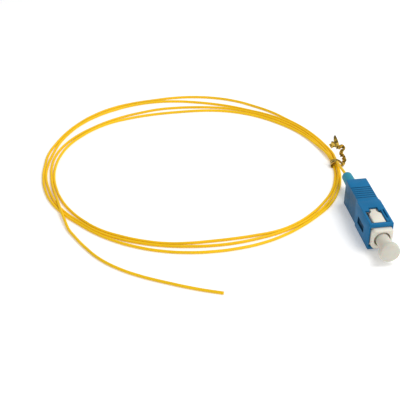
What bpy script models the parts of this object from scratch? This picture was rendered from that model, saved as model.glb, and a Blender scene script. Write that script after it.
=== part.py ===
"""Fibre optic pigtail: a push-pull plug with a square grip, capped, on a loose coil of 0.9 mm fibre.

The plug lies on its narrow side. The origin is on the floor under the middle of the grip, +Z is up,
and the plug mates towards -Y. The fibre leaves the boot towards +Y, goes round the coil to the left
(-X) and ends bare in front of the coil.
"""

import math

import bmesh
import bpy
from mathutils import Matrix, Vector

MM = 0.001
MERGE_DISTANCE = 0.00001

# Fits between pieces, in millimetres
SEAT_GAP = 0.3
SLIDE_GAP = 0.2
PRESS_GAP = 0.1

# Grip, the outer push-pull sleeve, in millimetres
GRIP_LENGTH = 25.4
GRIP_HEIGHT = 9.0
GRIP_FRONT_WIDTH = 7.4
GRIP_REAR_WIDTH = 6.7
GRIP_RAMP_START = 11.9
GRIP_RAMP_LENGTH = 1.1
GRIP_EDGE_RADIUS = 0.25
GRIP_END_RADIUS = 0.15
GRIP_TOP_WALL = 0.7
GRIP_REAR_SIDE_WALL = 0.4
GRIP_NOSE_SIDE_WALL = 0.35
GRIP_REAR_WALL = 2.6
BOOT_DOOR_SPARE_HEIGHT = 1.0
GROOVE_FIRST = 5.1
GROOVE_PITCH = 1.13
GROOVE_COUNT = 6
GROOVE_WIDTH = 0.4
GROOVE_DEPTH = 0.15
GROOVE_FIRST_DEPTH = 0.3

# Windows in the grip's narrow sides, and the cam at the key's side of each with a slot outside it
WINDOW_WIDTH = 5.8
WINDOW_FRONT_BAR = 0.9
WINDOW_LENGTH = 6.5
NOTCH_WIDTH = 2.8
NOTCH_LENGTH = 1.65
CAM_INSET = 0.8
CAM_WIDTH = 0.4
CAM_ROOT = 2.7
CAM_TOP_DROP = 0.15
CAM_SETBACK = 0.4
CAM_SLOT_WIDTH = 0.45
CAM_SLOT_ROOT = 3.2
CAM_SLOT_LENGTH = 4.3

# Recess in one wide side, and the key on the other
RECESS_LENGTH = 5.6
RECESS_HEIGHT = 2.4
RECESS_DEPTH = 0.5
RECESS_START = 14.9
RECESS_DROP = 0.6
KEY_WIDTH = 2.1
KEY_PROUD = 1.0
KEY_LENGTH = 7.0

# Plug frame, the inner housing
FRAME_NOSE_PROUD = 1.7
FRAME_NOSE_HEIGHT = 6.2
FRAME_NOSE_CHAMFER = 0.8
FRAME_NOSE_EASE = 0.2
FRAME_LENGTH = 22.4
FRAME_NOSE_LENGTH = 2.4
NOSE_BORE = 5.0
NOSE_BORE_DEPTH = 3.6
INNER_BORE = 4.6
FERRULE_WEB = 1.6
FERRULE_WEB_DEPTH = 8.4
LUG_DROP = 0.55
LUG_ROOT = 2.5
LUG_LENGTH = 4.5
LUG_SHOULDER_LENGTH = 1.1
LUG_STEM_WIDTH = 1.8
POCKET_ROOT = 2.8
POCKET_LENGTH = 2.6
GRIP_TRAVEL = 0.7

# Ferrule and its holder
FERRULE_DIAMETER = 2.5
FERRULE_SETBACK = 0.5
FERRULE_TIP_CHAMFER = 0.3
FLANGE_LENGTH = 2.8
FLANGE_TAIL_DIAMETER = 2.3
FLANGE_TAIL_LENGTH = 1.6
FLANGE_SOCKET_DEPTH = 1.8

# Spring behind the ferrule holder
SPRING_WIRE = 0.4
SPRING_BORE_GAP = 0.35
SPRING_LENGTH = 4.9
SPRING_TURNS = 5
SPRING_POINTS_PER_TURN = 12

# Stop ring, pushed into the frame's rear, with a stub that carries the boot
STOP_COLLAR_LENGTH = 1.0
STOP_STUB_DIAMETER = 2.4
STOP_STUB_LENGTH = 4.0

# Boot
BOOT_BASE_DIAMETER = 5.0
BOOT_BASE_LENGTH = 2.6
BOOT_NECK_DIAMETER = 3.8
BOOT_TIP_DIAMETER = 3.4
BOOT_PROUD = 9.2
BOOT_TIP_RADIUS = 0.7

# Dust cap over the ferrule
CAP_STEM_GAP = 0.45
CAP_HEAD_DIAMETER = 6.25
CAP_HEAD_THICKNESS = 2.0
CAP_REACH = 7.1
CAP_EDGE_RADIUS = 0.45
CAP_INSERTION = 3.3
CAP_SOCKET_GAP = 0.15

# Fibre in its tight buffer, and the loose coil that it lies in
FIBRE_DIAMETER = 0.9
FIBRE_START = 3.0
COIL_CENTRE = (-48.8, 43.8)
COIL_OUTER_RADIUS = 50.9
COIL_LAYERS = 2
COIL_SPREAD_RIGHT = 2.7
COIL_SPREAD_LEFT = 5.1
COIL_SPREAD_FRONT = 5.9
COIL_SPREAD_BACK = 12.5
COIL_SEGMENTS = 96

# Points of the fibre behind the boot, from the boot's mouth to the coil, in millimetres
LEAD_POINTS = [
    (0.0, 22.6, 4.45),
    (0.0, 25.3, 4.2),
    (0.1, 27.8, 3.7),
    (0.3, 30.4, 3.05),
    (0.5, 32.7, 2.6),
]

# Points of the free end, from the coil's left side to the bare cut, in millimetres
TAIL_POINTS = [
    (-92.8, 16.6, 0.45),
    (-92.3, 13.8, 0.45),
    (-91.6, 11.0, 0.45),
    (-90.4, 8.1, 0.45),
    (-87.2, 1.4, 0.45),
    (-83.1, -5.3, 0.45),
    (-77.8, -10.9, 0.45),
    (-72.1, -15.2, 0.45),
    (-64.2, -19.8, 0.45),
    (-56.6, -23.7, 0.45),
    (-49.9, -26.5, 0.45),
]
ROUTE_STEP = 2.4

# Twist tie: a ribbon round the coil's right side, its two ends twisted together
TIE_ANGLE = -9.5
TIE_RIBBON_WIDTH = 3.2
TIE_RIBBON_THICKNESS = 0.3
TIE_FLOOR_GAP = 0.05
TIE_STEM_DIAMETER = 1.1
TIE_STEM_POINTS = [
    (2.2, 35.0, 0.8),
    (3.5, 35.5, 2.4),
    (2.4, 35.5, 5.0),
    (2.9, 35.7, 7.0),
    (2.0, 35.9, 7.9),
    (0.8, 36.0, 8.0),
]
TIE_FLAG_OUTLINE = [(-2.6, 8.7), (-1.4, 7.0), (1.5, 7.5), (-0.3, 12.0)]
TIE_FLAG_THICKNESS = 0.4
TIE_FLAG_Y = 36.0

# Places that follow from the sizes above, in millimetres
AXIS_Z = GRIP_HEIGHT / 2
GRIP_REAR_Y = GRIP_LENGTH / 2
GRIP_FRONT_Y = -GRIP_LENGTH / 2
RAMP_REAR_Y = GRIP_REAR_Y - GRIP_RAMP_START
RAMP_FRONT_Y = RAMP_REAR_Y - GRIP_RAMP_LENGTH
CHAMBER_HEIGHT = GRIP_HEIGHT - 2 * GRIP_TOP_WALL
CHAMBER_WIDTH = GRIP_REAR_WIDTH - 2 * GRIP_REAR_SIDE_WALL
CHAMBER_REAR_Y = GRIP_REAR_Y - GRIP_REAR_WALL
NOSE_CHAMBER_WIDTH = GRIP_FRONT_WIDTH - 2 * GRIP_NOSE_SIDE_WALL
NOSE_CHAMBER_HEIGHT = FRAME_NOSE_HEIGHT + 2 * SLIDE_GAP
FRAME_HEIGHT = CHAMBER_HEIGHT - 2 * SLIDE_GAP
FRAME_BODY_WIDTH = CHAMBER_WIDTH - 2 * SLIDE_GAP
CAM_INNER_X = CHAMBER_WIDTH / 2 - CAM_INSET
CAM_SLOT_X = CAM_INNER_X + CAM_WIDTH
LUG_WIDTH = 2 * (CAM_INNER_X - SEAT_GAP)
WINDOW_FRONT_Y = GRIP_FRONT_Y + WINDOW_FRONT_BAR
WINDOW_REAR_Y = WINDOW_FRONT_Y + WINDOW_LENGTH
FRAME_FRONT_Y = GRIP_FRONT_Y - FRAME_NOSE_PROUD
FRAME_REAR_Y = FRAME_FRONT_Y + FRAME_LENGTH
FRAME_STEP_Y = FRAME_FRONT_Y + FRAME_NOSE_LENGTH
NOSE_CHAMBER_REAR_Y = FRAME_STEP_Y + SEAT_GAP
CAM_FRONT_Y = NOSE_CHAMBER_REAR_Y + CAM_SETBACK
CAM_REAR_Y = WINDOW_REAR_Y + SEAT_GAP
CAM_SLOT_REAR_Y = WINDOW_REAR_Y + PRESS_GAP
FRAME_SHOULDER_Y = WINDOW_FRONT_Y + GRIP_TRAVEL + SEAT_GAP
LUG_FRONT_Y = WINDOW_FRONT_Y + GRIP_TRAVEL + SLIDE_GAP
LUG_SHOULDER_Y = LUG_FRONT_Y + LUG_LENGTH
LUG_STEM_Y = LUG_SHOULDER_Y + LUG_SHOULDER_LENGTH
LUG_REAR_Y = WINDOW_REAR_Y + NOTCH_LENGTH - SEAT_GAP
FERRULE_HOLE = FERRULE_DIAMETER + 2 * SEAT_GAP
WEB_FRONT_Y = FRAME_FRONT_Y + FERRULE_WEB_DEPTH
WEB_REAR_Y = WEB_FRONT_Y + FERRULE_WEB
FLANGE_FRONT_Y = WEB_REAR_Y + SEAT_GAP
FLANGE_REAR_Y = FLANGE_FRONT_Y + FLANGE_LENGTH
FLANGE_DIAMETER = INNER_BORE - 2 * SEAT_GAP
SPRING_OUTER_DIAMETER = INNER_BORE - 2 * SPRING_BORE_GAP
SPRING_FRONT_Y = FLANGE_REAR_Y + SEAT_GAP
STOP_FRONT_Y = SPRING_FRONT_Y + SPRING_LENGTH + SEAT_GAP
STOP_COLLAR_DIAMETER = CHAMBER_WIDTH - 2 * SEAT_GAP
STOP_COLLAR_Y = FRAME_REAR_Y + SEAT_GAP
STOP_STUB_Y = STOP_COLLAR_Y + STOP_COLLAR_LENGTH
FIBRE_BORE = FIBRE_DIAMETER + 2 * SEAT_GAP
BOOT_FRONT_Y = STOP_STUB_Y + SEAT_GAP
BOOT_TIP_Y = GRIP_REAR_Y + BOOT_PROUD
BOOT_DOOR_WIDTH = BOOT_BASE_DIAMETER + 2 * SEAT_GAP
BOOT_DOOR_HEIGHT = BOOT_DOOR_WIDTH + BOOT_DOOR_SPARE_HEIGHT
FERRULE_TIP_Y = FRAME_FRONT_Y + FERRULE_SETBACK
CAP_FRONT_Y = FRAME_FRONT_Y - CAP_REACH
CAP_REAR_Y = FRAME_FRONT_Y + CAP_INSERTION
CAP_STEM_DIAMETER = NOSE_BORE - 2 * CAP_STEM_GAP
CAP_SOCKET_DIAMETER = FERRULE_DIAMETER + 2 * CAP_SOCKET_GAP
COIL_HEIGHT = COIL_LAYERS * FIBRE_DIAMETER
COIL_BORE_CENTRE = (
    COIL_CENTRE[0] + (COIL_SPREAD_LEFT - COIL_SPREAD_RIGHT) / 2,
    COIL_CENTRE[1] + (COIL_SPREAD_FRONT - COIL_SPREAD_BACK) / 2,
)
COIL_BORE_RADII = (
    COIL_OUTER_RADIUS - (COIL_SPREAD_LEFT + COIL_SPREAD_RIGHT) / 2,
    COIL_OUTER_RADIUS - (COIL_SPREAD_FRONT + COIL_SPREAD_BACK) / 2,
)
TIE_BORE_WIDTH = COIL_SPREAD_RIGHT + SEAT_GAP


def clear_scene():
    for item in list(bpy.data.objects):
        bpy.data.objects.remove(item, do_unlink=True)


def make_collection(name):
    collection = bpy.data.collections.new(name)
    bpy.context.scene.collection.children.link(collection)
    return collection


def make_material(name, colour, roughness, metallic=0.0):
    material = bpy.data.materials.new(name)
    material.use_nodes = True
    shader = material.node_tree.nodes["Principled BSDF"]
    shader.inputs["Base Color"].default_value = (*colour, 1.0)
    shader.inputs["Roughness"].default_value = roughness
    shader.inputs["Metallic"].default_value = metallic
    return material


def add_object(name, data, collection, material=None):
    item = bpy.data.objects.new(name, data)
    collection.objects.link(item)
    if material is not None:
        data.materials.append(material)
    return item


def mark_cutter(item):
    item.hide_render = True
    item.display_type = "WIRE"
    return item


def box(name, collection, low, high, material=None):
    """A box between two corners given in millimetres."""
    mesh = bpy.data.meshes.new(name)
    builder = bmesh.new()
    bmesh.ops.create_cube(builder, size=1.0)
    size = [(high[axis] - low[axis]) * MM for axis in range(3)]
    bmesh.ops.scale(builder, vec=size, verts=builder.verts)
    builder.to_mesh(mesh)
    builder.free()
    item = add_object(name, mesh, collection, material)
    item.location = [(high[axis] + low[axis]) / 2 * MM for axis in range(3)]
    return item


def flat_outline(name, collection, outlines, thickness, material=None):
    """A plate from closed outlines in millimetres, lying in the local XY plane and centred on it."""
    curve = bpy.data.curves.new(name, "CURVE")
    curve.dimensions = "2D"
    curve.fill_mode = "BOTH"
    curve.extrude = thickness / 2 * MM
    for outline in outlines:
        spline = curve.splines.new("POLY")
        spline.points.add(len(outline) - 1)
        spline.use_cyclic_u = True
        for point, (x, y) in zip(spline.points, outline):
            point.co = (x * MM, y * MM, 0.0, 1.0)
    return add_object(name, curve, collection, material)


def tube(name, collection, points, diameter, material=None, cyclic=False):
    """A round cord or wire through points in millimetres."""
    curve = bpy.data.curves.new(name, "CURVE")
    curve.dimensions = "3D"
    curve.bevel_depth = diameter / 2 * MM
    curve.bevel_resolution = 2
    curve.use_fill_caps = True
    spline = curve.splines.new("POLY")
    spline.points.add(len(points) - 1)
    spline.use_cyclic_u = cyclic
    for point, place in zip(spline.points, points):
        point.co = (*[value * MM for value in place], 1.0)
    return add_object(name, curve, collection, material)


def curve_to_mesh(item):
    """Replace a curve object by a mesh object whose caps are welded."""
    bpy.context.view_layer.update()
    evaluated = item.evaluated_get(bpy.context.evaluated_depsgraph_get())
    mesh = bpy.data.meshes.new_from_object(evaluated)
    builder = bmesh.new()
    builder.from_mesh(mesh)
    bmesh.ops.remove_doubles(builder, verts=builder.verts, dist=MERGE_DISTANCE)
    bmesh.ops.recalc_face_normals(builder, faces=builder.faces)
    builder.to_mesh(mesh)
    builder.free()
    name = item.name
    collection = item.users_collection[0]
    place = item.matrix_world.copy()
    bpy.data.objects.remove(item, do_unlink=True)
    solid = bpy.data.objects.new(name, mesh)
    collection.objects.link(solid)
    solid.matrix_world = place
    return solid


def turned(name, collection, profile, segments=32, material=None):
    """A solid turned about the plug's axis from (radius, y) points, rear end of the outside first."""
    mesh = bpy.data.meshes.new(name)
    builder = bmesh.new()
    corners = [builder.verts.new((radius * MM, 0.0, y * MM)) for radius, y in profile]
    count = len(corners)
    closed = profile[0][0] > 0.0 and profile[-1][0] > 0.0
    for index in range(count if closed else count - 1):
        builder.edges.new((corners[index], corners[(index + 1) % count]))
    builder.to_mesh(mesh)
    builder.free()
    item = add_object(name, mesh, collection, material)
    screw = item.modifiers.new("Turn", "SCREW")
    screw.axis = "Z"
    screw.angle = math.tau
    screw.steps = segments
    screw.render_steps = segments
    screw.use_merge_vertices = True
    screw.merge_threshold = MERGE_DISTANCE
    item.location = (0.0, 0.0, AXIS_Z * MM)
    item.rotation_euler = (-math.pi / 2, 0.0, 0.0)
    return item


def smooth(item, angle=40.0):
    """Shade a round piece smooth, with its sharp edges kept."""
    if item.type == "MESH":
        item.data.shade_smooth()
        item.data.set_sharp_from_angle(angle=math.radians(angle))
    return item


def boolean(item, cutter, operation="DIFFERENCE"):
    modifier = item.modifiers.new(cutter.name, "BOOLEAN")
    modifier.operation = operation
    modifier.solver = "EXACT"
    modifier.object = cutter
    return modifier


def arc(centre_radius, centre_y, size, start, end, steps=3):
    """Points of a quarter-round corner on a turned profile."""
    points = []
    for step in range(steps + 1):
        angle = math.radians(start + (end - start) * step / steps)
        points.append((centre_radius + size * math.cos(angle), centre_y + size * math.sin(angle)))
    return points


def ellipse(centre, radii, count):
    points = []
    for step in range(count):
        angle = math.tau * step / count
        points.append((centre[0] + radii[0] * math.cos(angle), centre[1] + radii[1] * math.sin(angle)))
    return points


def smooth_route(points, step):
    """Points about one step apart on a smooth curve through the given points."""
    places = [Vector(point) for point in points]
    padded = [2 * places[0] - places[1]] + places + [2 * places[-1] - places[-2]]
    route = [places[0]]
    for index in range(1, len(padded) - 2):
        before, start, end, after = padded[index - 1:index + 3]
        parts = max(1, round((end - start).length / step))
        for part in range(1, parts + 1):
            t = part / parts
            linear = (end - before) * t
            square = (2 * before - 5 * start + 4 * end - after) * t * t
            cube = (3 * start - before - 3 * end + after) * t * t * t
            route.append(start + (linear + square + cube) / 2)
    return route


def mirrored_boxes(low, high):
    """A box above the plug's axis and its twin below it, as corner pairs."""
    below = ((low[0], low[1], 2 * AXIS_Z - high[2]), (high[0], high[1], 2 * AXIS_Z - low[2]))
    return [(low, high), below]


def cut_boxes(item, name, cutters, corner_pairs, operation="DIFFERENCE"):
    for number, (low, high) in enumerate(corner_pairs, 1):
        cutter = mark_cutter(box(f"{name}_{number}", cutters, low, high))
        boolean(item, cutter, operation)


def round_long_edges(item, long_radius, end_radius):
    """Round the edges that run along the plug, and ease the ones round its two ends."""
    builder = bmesh.new()
    builder.from_mesh(item.data)
    weights = builder.edges.layers.float.new("bevel_weight_edge")
    ends = [vertex.co.y for vertex in builder.verts]
    for edge in builder.edges:
        first, second = (vertex.co for vertex in edge.verts)
        along = abs(first.y - second.y) > MM / 2
        at_end = not along and first.y in (min(ends), max(ends))
        if along:
            edge[weights] = 1.0
        elif at_end:
            edge[weights] = end_radius / long_radius
    builder.to_mesh(item.data)
    builder.free()
    modifier = item.modifiers.new("Edges", "BEVEL")
    modifier.width = long_radius * MM
    modifier.segments = 2
    modifier.limit_method = "WEIGHT"


def grip_outline():
    """Half widths of the grip along its length, with the ramp between its rear and front parts."""
    rear = GRIP_REAR_WIDTH / 2
    front = GRIP_FRONT_WIDTH / 2
    right = [(front, GRIP_FRONT_Y), (front, RAMP_FRONT_Y), (rear, RAMP_REAR_Y), (rear, GRIP_REAR_Y)]
    left = [(-x, y) for x, y in reversed(right)]
    return right + left


def four_boxes(inner, outer, front, rear, root, top):
    """The same box at both sides of the two lugs, as corner pairs."""
    pairs = []
    for side in (-1, 1):
        faces = sorted((side * inner, side * outer))
        pairs += mirrored_boxes((faces[0], front, AXIS_Z + root), (faces[1], rear, top))
    return pairs


def make_grip(parts, cutters):
    blue = make_material("grip_blue", (0.03, 0.17, 0.38), 0.42)
    outline = flat_outline("grip_housing", parts, [grip_outline()], GRIP_HEIGHT)
    outline.location = (0.0, 0.0, AXIS_Z * MM)
    grip = curve_to_mesh(outline)
    grip.data.materials.append(blue)
    round_long_edges(grip, GRIP_EDGE_RADIUS, GRIP_END_RADIUS)
    key_side = GRIP_FRONT_WIDTH / 2
    key_low = (key_side - SEAT_GAP, RAMP_FRONT_Y - KEY_LENGTH, AXIS_Z - KEY_WIDTH / 2)
    key_high = (key_side + KEY_PROUD, RAMP_FRONT_Y, AXIS_Z + KEY_WIDTH / 2)
    cut_boxes(grip, "key", cutters, [(key_low, key_high)], "UNION")
    half = CHAMBER_WIDTH / 2
    tall = CHAMBER_HEIGHT / 2
    beyond = 1.0
    chamber = ((-half, WINDOW_FRONT_Y, AXIS_Z - tall), (half, CHAMBER_REAR_Y, AXIS_Z + tall))
    nose_half = NOSE_CHAMBER_WIDTH / 2
    nose_tall = NOSE_CHAMBER_HEIGHT / 2
    nose = (
        (-nose_half, GRIP_FRONT_Y - beyond, AXIS_Z - nose_tall),
        (nose_half, NOSE_CHAMBER_REAR_Y, AXIS_Z + nose_tall),
    )
    door = (
        (-BOOT_DOOR_WIDTH / 2, CHAMBER_REAR_Y - beyond, AXIS_Z - BOOT_DOOR_HEIGHT / 2),
        (BOOT_DOOR_WIDTH / 2, GRIP_REAR_Y + beyond, AXIS_Z + BOOT_DOOR_HEIGHT / 2),
    )
    cut_boxes(grip, "chamber", cutters, [chamber, nose, door])
    wide = mirrored_boxes(
        (-WINDOW_WIDTH / 2, WINDOW_FRONT_Y, AXIS_Z + tall - SEAT_GAP),
        (WINDOW_WIDTH / 2, WINDOW_REAR_Y, GRIP_HEIGHT + beyond),
    )
    notch = mirrored_boxes(
        (-NOTCH_WIDTH / 2, WINDOW_REAR_Y - beyond, AXIS_Z + tall - SEAT_GAP),
        (NOTCH_WIDTH / 2, WINDOW_REAR_Y + NOTCH_LENGTH, GRIP_HEIGHT + beyond),
    )
    cut_boxes(grip, "window", cutters, wide + notch)
    crest = GRIP_HEIGHT - CAM_TOP_DROP
    cams = mirrored_boxes(
        (CAM_INNER_X, CAM_FRONT_Y, AXIS_Z + CAM_ROOT),
        (half + PRESS_GAP, CAM_REAR_Y, crest),
    )
    cut_boxes(grip, "cam", cutters, cams, "UNION")
    slots = mirrored_boxes(
        (CAM_SLOT_X, CAM_SLOT_REAR_Y - CAM_SLOT_LENGTH, AXIS_Z + CAM_SLOT_ROOT),
        (CAM_SLOT_X + CAM_SLOT_WIDTH, CAM_SLOT_REAR_Y, GRIP_HEIGHT + beyond),
    )
    cut_boxes(grip, "cam_slot", cutters, slots)
    recess_floor = RECESS_DEPTH - GRIP_FRONT_WIDTH / 2
    recess_front = GRIP_REAR_Y - RECESS_START - RECESS_LENGTH
    recess_low = AXIS_Z - RECESS_DROP - RECESS_HEIGHT / 2
    recess = (
        (recess_floor - beyond, recess_front, recess_low),
        (recess_floor, recess_front + RECESS_LENGTH, recess_low + RECESS_HEIGHT),
    )
    cut_boxes(grip, "recess", cutters, [recess])
    grooves = []
    side = GRIP_REAR_WIDTH / 2 + beyond
    for number in range(GROOVE_COUNT):
        centre = GRIP_REAR_Y - GROOVE_FIRST - number * GROOVE_PITCH
        depth = GROOVE_DEPTH if number else GROOVE_FIRST_DEPTH
        low = (-side, centre - GROOVE_WIDTH / 2, GRIP_HEIGHT - depth)
        high = (side, centre + GROOVE_WIDTH / 2, GRIP_HEIGHT + beyond)
        grooves += mirrored_boxes(low, high)
    cut_boxes(grip, "groove", cutters, grooves)
    return grip


def stand_upright(plate, y):
    """Turn a flat outline so that its second coordinate points up, and centre its thickness at y."""
    plate.rotation_euler = (math.pi / 2, 0.0, 0.0)
    plate.location = (0.0, y * MM, 0.0)
    return plate


def nose_outline(width):
    """The nose from the front: its corners are cut at 45 degrees, and by more away from the key."""
    half = width / 2
    tall = FRAME_NOSE_HEIGHT / 2
    cut = FRAME_NOSE_CHAMFER
    ease = FRAME_NOSE_EASE
    upper = [(half, tall - ease), (half - ease, tall), (cut - half, tall), (-half, tall - cut)]
    lower = [(x, -z) for x, z in reversed(upper)]
    return [(x, z + AXIS_Z) for x, z in upper + lower]


def lug_outline():
    """One lug seen from above: a stem that widens to the part that holds the grip."""
    half = LUG_WIDTH / 2
    stem = LUG_STEM_WIDTH / 2
    right = [(half, LUG_FRONT_Y), (half, LUG_SHOULDER_Y), (stem, LUG_STEM_Y), (stem, LUG_REAR_Y)]
    return right + [(-x, y) for x, y in reversed(right)]


def make_plug_frame(parts, cutters):
    cream = make_material("frame_cream", (0.80, 0.74, 0.62), 0.5)
    nose_width = NOSE_CHAMBER_WIDTH - 2 * SLIDE_GAP
    plate = flat_outline("plug_frame", parts, [nose_outline(nose_width)], FRAME_NOSE_LENGTH)
    frame = curve_to_mesh(stand_upright(plate, (FRAME_FRONT_Y + FRAME_STEP_Y) / 2))
    frame.data.materials.append(cream)
    tall = FRAME_HEIGHT / 2 - PRESS_GAP
    half = FRAME_BODY_WIDTH / 2
    neck_tall = FRAME_NOSE_HEIGHT / 2 - PRESS_GAP
    neck = (
        (-half, FRAME_STEP_Y - SEAT_GAP, AXIS_Z - neck_tall),
        (half, FRAME_SHOULDER_Y + SEAT_GAP, AXIS_Z + neck_tall),
    )
    body = ((-half, FRAME_SHOULDER_Y, AXIS_Z - tall), (half, FRAME_REAR_Y, AXIS_Z + tall))
    cut_boxes(frame, "frame_body", cutters, [neck, body], "UNION")
    rebate_inner = CAM_INNER_X - SLIDE_GAP
    rebate_rear = CAM_REAR_Y + GRIP_TRAVEL + SEAT_GAP
    rebate_root = CAM_ROOT - SEAT_GAP
    rebates = four_boxes(rebate_inner, half + SEAT_GAP, FRAME_STEP_Y, rebate_rear, rebate_root, GRIP_HEIGHT)
    cut_boxes(frame, "rebate", cutters, rebates)
    pocket_inner = LUG_STEM_WIDTH / 2 - PRESS_GAP
    pocket_front = LUG_SHOULDER_Y - PRESS_GAP
    pocket_rear = pocket_front + POCKET_LENGTH
    pockets = four_boxes(pocket_inner, CAM_INNER_X, pocket_front, pocket_rear, POCKET_ROOT, GRIP_HEIGHT)
    cut_boxes(frame, "pocket", cutters, pockets)
    lug_height = AXIS_Z - LUG_DROP - LUG_ROOT
    for name, upright in (("lug_top", 1), ("lug_bottom", -1)):
        lug = flat_outline(name, cutters, [lug_outline()], lug_height)
        lug.location = (0.0, 0.0, (AXIS_Z + upright * (LUG_ROOT + lug_height / 2)) * MM)
        boolean(frame, mark_cutter(curve_to_mesh(lug)), "UNION")
    beyond = 1.0
    profile = [
        (0.0, FRAME_REAR_Y + beyond),
        (INNER_BORE / 2, FRAME_REAR_Y + beyond),
        (INNER_BORE / 2, WEB_REAR_Y),
        (FERRULE_HOLE / 2, WEB_REAR_Y),
        (FERRULE_HOLE / 2, WEB_FRONT_Y),
        (INNER_BORE / 2, WEB_FRONT_Y),
        (INNER_BORE / 2, FRAME_FRONT_Y + NOSE_BORE_DEPTH),
        (NOSE_BORE / 2, FRAME_FRONT_Y + NOSE_BORE_DEPTH),
        (NOSE_BORE / 2, FRAME_FRONT_Y - beyond),
        (0.0, FRAME_FRONT_Y - beyond),
    ]
    boolean(frame, mark_cutter(turned("frame_bore", cutters, profile)))
    return frame


def make_ferrule(parts):
    ceramic = make_material("ferrule_ceramic", (0.86, 0.86, 0.84), 0.25)
    radius = FERRULE_DIAMETER / 2
    rear = FLANGE_FRONT_Y + FLANGE_SOCKET_DEPTH - PRESS_GAP
    profile = [
        (0.0, rear),
        (radius, rear),
        (radius, FERRULE_TIP_Y + FERRULE_TIP_CHAMFER),
        (radius - FERRULE_TIP_CHAMFER, FERRULE_TIP_Y),
        (0.0, FERRULE_TIP_Y),
    ]
    return smooth(turned("ferrule", parts, profile, 24, ceramic))


def make_ferrule_holder(parts):
    nickel = make_material("holder_nickel", (0.62, 0.60, 0.55), 0.3, 1.0)
    socket = FERRULE_DIAMETER / 2 + PRESS_GAP
    tail = FLANGE_TAIL_DIAMETER / 2
    bore = FIBRE_BORE / 2
    profile = [
        (bore, FLANGE_REAR_Y + FLANGE_TAIL_LENGTH),
        (tail, FLANGE_REAR_Y + FLANGE_TAIL_LENGTH),
        (tail, FLANGE_REAR_Y),
        (FLANGE_DIAMETER / 2, FLANGE_REAR_Y),
        (FLANGE_DIAMETER / 2, FLANGE_FRONT_Y),
        (socket, FLANGE_FRONT_Y),
        (socket, FLANGE_FRONT_Y + FLANGE_SOCKET_DEPTH),
        (bore, FLANGE_FRONT_Y + FLANGE_SOCKET_DEPTH),
    ]
    return smooth(turned("ferrule_holder", parts, profile, 24, nickel))


def make_spring(parts):
    steel = make_material("spring_steel", (0.55, 0.55, 0.57), 0.3, 1.0)
    radius = (SPRING_OUTER_DIAMETER - SPRING_WIRE) / 2
    rise = SPRING_LENGTH - SPRING_WIRE
    count = SPRING_TURNS * SPRING_POINTS_PER_TURN
    points = []
    for step in range(count + 1):
        angle = math.tau * step / SPRING_POINTS_PER_TURN
        y = SPRING_FRONT_Y + SPRING_WIRE / 2 + rise * step / count
        points.append((radius * math.cos(angle), y, AXIS_Z + radius * math.sin(angle)))
    return tube("spring", parts, points, SPRING_WIRE, steel)


def make_stop_ring(parts):
    nickel = make_material("stop_ring_nickel", (0.60, 0.59, 0.56), 0.35, 1.0)
    bore = FIBRE_BORE / 2
    barrel = INNER_BORE / 2 - SEAT_GAP
    profile = [
        (bore, STOP_STUB_Y + STOP_STUB_LENGTH),
        (STOP_STUB_DIAMETER / 2, STOP_STUB_Y + STOP_STUB_LENGTH),
        (STOP_STUB_DIAMETER / 2, STOP_STUB_Y),
        (STOP_COLLAR_DIAMETER / 2, STOP_STUB_Y),
        (STOP_COLLAR_DIAMETER / 2, STOP_COLLAR_Y),
        (barrel, STOP_COLLAR_Y),
        (barrel, STOP_FRONT_Y),
        (bore, STOP_FRONT_Y),
    ]
    return smooth(turned("stop_ring", parts, profile, 24, nickel))


def make_boot(parts):
    teal = make_material("boot_teal", (0.05, 0.30, 0.46), 0.55)
    bore = FIBRE_BORE / 2
    socket = STOP_STUB_DIAMETER / 2 + SEAT_GAP
    socket_end = STOP_STUB_Y + STOP_STUB_LENGTH + SEAT_GAP
    base_rear = BOOT_FRONT_Y + BOOT_BASE_LENGTH
    tip = BOOT_TIP_DIAMETER / 2
    rounding = arc(tip - BOOT_TIP_RADIUS, BOOT_TIP_Y - BOOT_TIP_RADIUS, BOOT_TIP_RADIUS, 90.0, 0.0)
    profile = [
        (bore, BOOT_TIP_Y),
        *rounding,
        (BOOT_NECK_DIAMETER / 2, base_rear),
        (BOOT_BASE_DIAMETER / 2, base_rear - SEAT_GAP),
        (BOOT_BASE_DIAMETER / 2, BOOT_FRONT_Y),
        (socket, BOOT_FRONT_Y),
        (socket, socket_end),
        (bore, socket_end),
    ]
    return smooth(turned("boot", parts, profile, 32, teal))


def make_dust_cap(parts):
    frosted = make_material("cap_frosted", (0.62, 0.60, 0.55), 0.45)
    socket = CAP_SOCKET_DIAMETER / 2
    socket_end = FERRULE_TIP_Y - SEAT_GAP
    head_rear = CAP_FRONT_Y + CAP_HEAD_THICKNESS
    rim = CAP_HEAD_DIAMETER / 2 - CAP_EDGE_RADIUS
    profile = [
        (0.0, socket_end),
        (socket, socket_end),
        (socket, CAP_REAR_Y),
        (CAP_STEM_DIAMETER / 2, CAP_REAR_Y),
        (CAP_STEM_DIAMETER / 2, head_rear),
        *arc(rim, head_rear - CAP_EDGE_RADIUS, CAP_EDGE_RADIUS, 90.0, 0.0),
        *arc(rim, CAP_FRONT_Y + CAP_EDGE_RADIUS, CAP_EDGE_RADIUS, 0.0, -90.0),
        (0.0, CAP_FRONT_Y),
    ]
    return smooth(turned("dust_cap", parts, profile, 32, frosted))


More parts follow.
